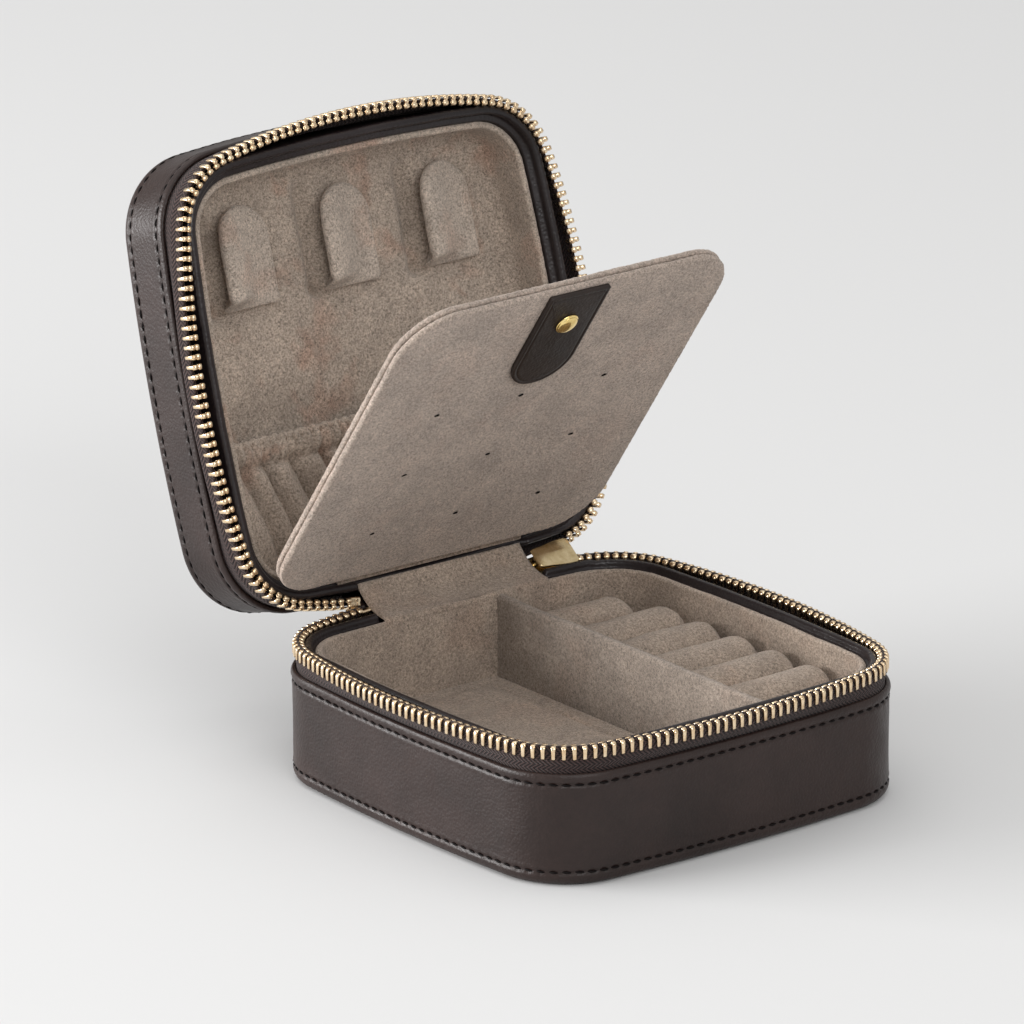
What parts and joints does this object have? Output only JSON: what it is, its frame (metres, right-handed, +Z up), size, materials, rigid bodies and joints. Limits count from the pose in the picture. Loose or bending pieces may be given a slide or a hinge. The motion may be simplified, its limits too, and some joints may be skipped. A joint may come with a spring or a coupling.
{
  "type": "leather jewellery case",
  "caption": "Square zip-round leather jewellery case, open, with suede compartment, ring rolls, folding earring panel, necklace tabs and elastic pocket.",
  "frame": {"origin": "centre of the flat underside of the base", "axes": "+X along the hinge, left to right from the opening side; +Y from the opening edge to the hinge; +Z up"},
  "size_m": [0.1074, 0.1554, 0.1316],
  "materials": {
    "leather": "fine grain, satin",
    "board": "plain grey board",
    "zip_tape": "ribbed woven tape",
    "brass": "polished pale gold",
    "suede": "matt microsuede nap",
    "foam": "open foam",
    "elastic": "covered elastic"
  },
  "bodies": {
    "base": {"base_side_leather": "leather", "base_bottom_leather": "leather", "base_bottom_board": "board", "base_wall_board": "board", "base_zip_tape": "zip_tape", "base_zip_teeth": "brass", "base_zip_stops": "brass", "base_collar": "leather", "base_lining_wall": "suede", "floor_foam": "foam", "floor_pad": "suede", "divider": "suede", "ring_bed": "foam", "ring_roll_1": "suede", "ring_roll_2": "suede", "ring_roll_3": "suede", "ring_roll_4": "suede", "ring_roll_5": "suede", "ring_roll_6": "suede", "ring_roll_7": "suede", "outer_hinge_leather": "leather", "inner_hinge_strip": "suede"},
    "lid": {"lid_side_leather": "leather", "lid_top_leather": "leather", "lid_top_board": "board", "lid_wall_board": "board", "lid_zip_tape": "zip_tape", "lid_zip_teeth": "brass", "lid_zip_stops": "brass", "lid_collar": "leather", "lid_lining_wall": "suede", "lid_foam": "foam", "lid_floor": "suede", "necklace_tab_1": "suede", "necklace_tab_2": "suede", "necklace_tab_3": "suede", "lid_pocket": "suede", "pocket_elastic": "elastic", "panel_hinge_strip": "suede"},
    "panel": {"panel_under_face": "suede", "panel_board": "board", "panel_upper_face": "suede", "pull_tab": "leather", "stud_cap": "brass", "stud_back": "brass"},
    "slider": {"slider_body": "brass", "slider_bail": "brass"},
    "puller": {"puller": "brass"}
  },
  "joints": [
    {"name": "lid_hinge", "type": "hinge", "parent": "base", "child": "lid", "pos_m": [0, 0.052, 0.03], "axis": [1, 0, 0], "range_deg": [0, 106], "deforming": ["outer_hinge_leather", "inner_hinge_strip"]},
    {"name": "panel_fold", "type": "hinge", "parent": "lid", "child": "panel", "pos_m": [0, 0.05416, 0.03718], "axis": [1, 0, 0], "range_deg": [-51, 0], "deforming": ["panel_hinge_strip"]},
    {"name": "slider_turn", "type": "hinge", "parent": "base", "child": "slider", "pos_m": [0, 0.052, 0.03], "axis": [1, 0, 0], "range_deg": [0, 53.1]},
    {"name": "puller_swing", "type": "hinge", "parent": "slider", "child": "puller", "pos_m": [0.0303, 0.05371, 0.02772], "axis": [1, 0, 0], "range_deg": [0, 60]}
  ],
  "couplings": [
    {"joint": "panel_fold", "follows": "lid_hinge", "ratio": -0.48019},
    {"joint": "slider_turn", "follows": "lid_hinge", "ratio": 0.5}
  ]
}
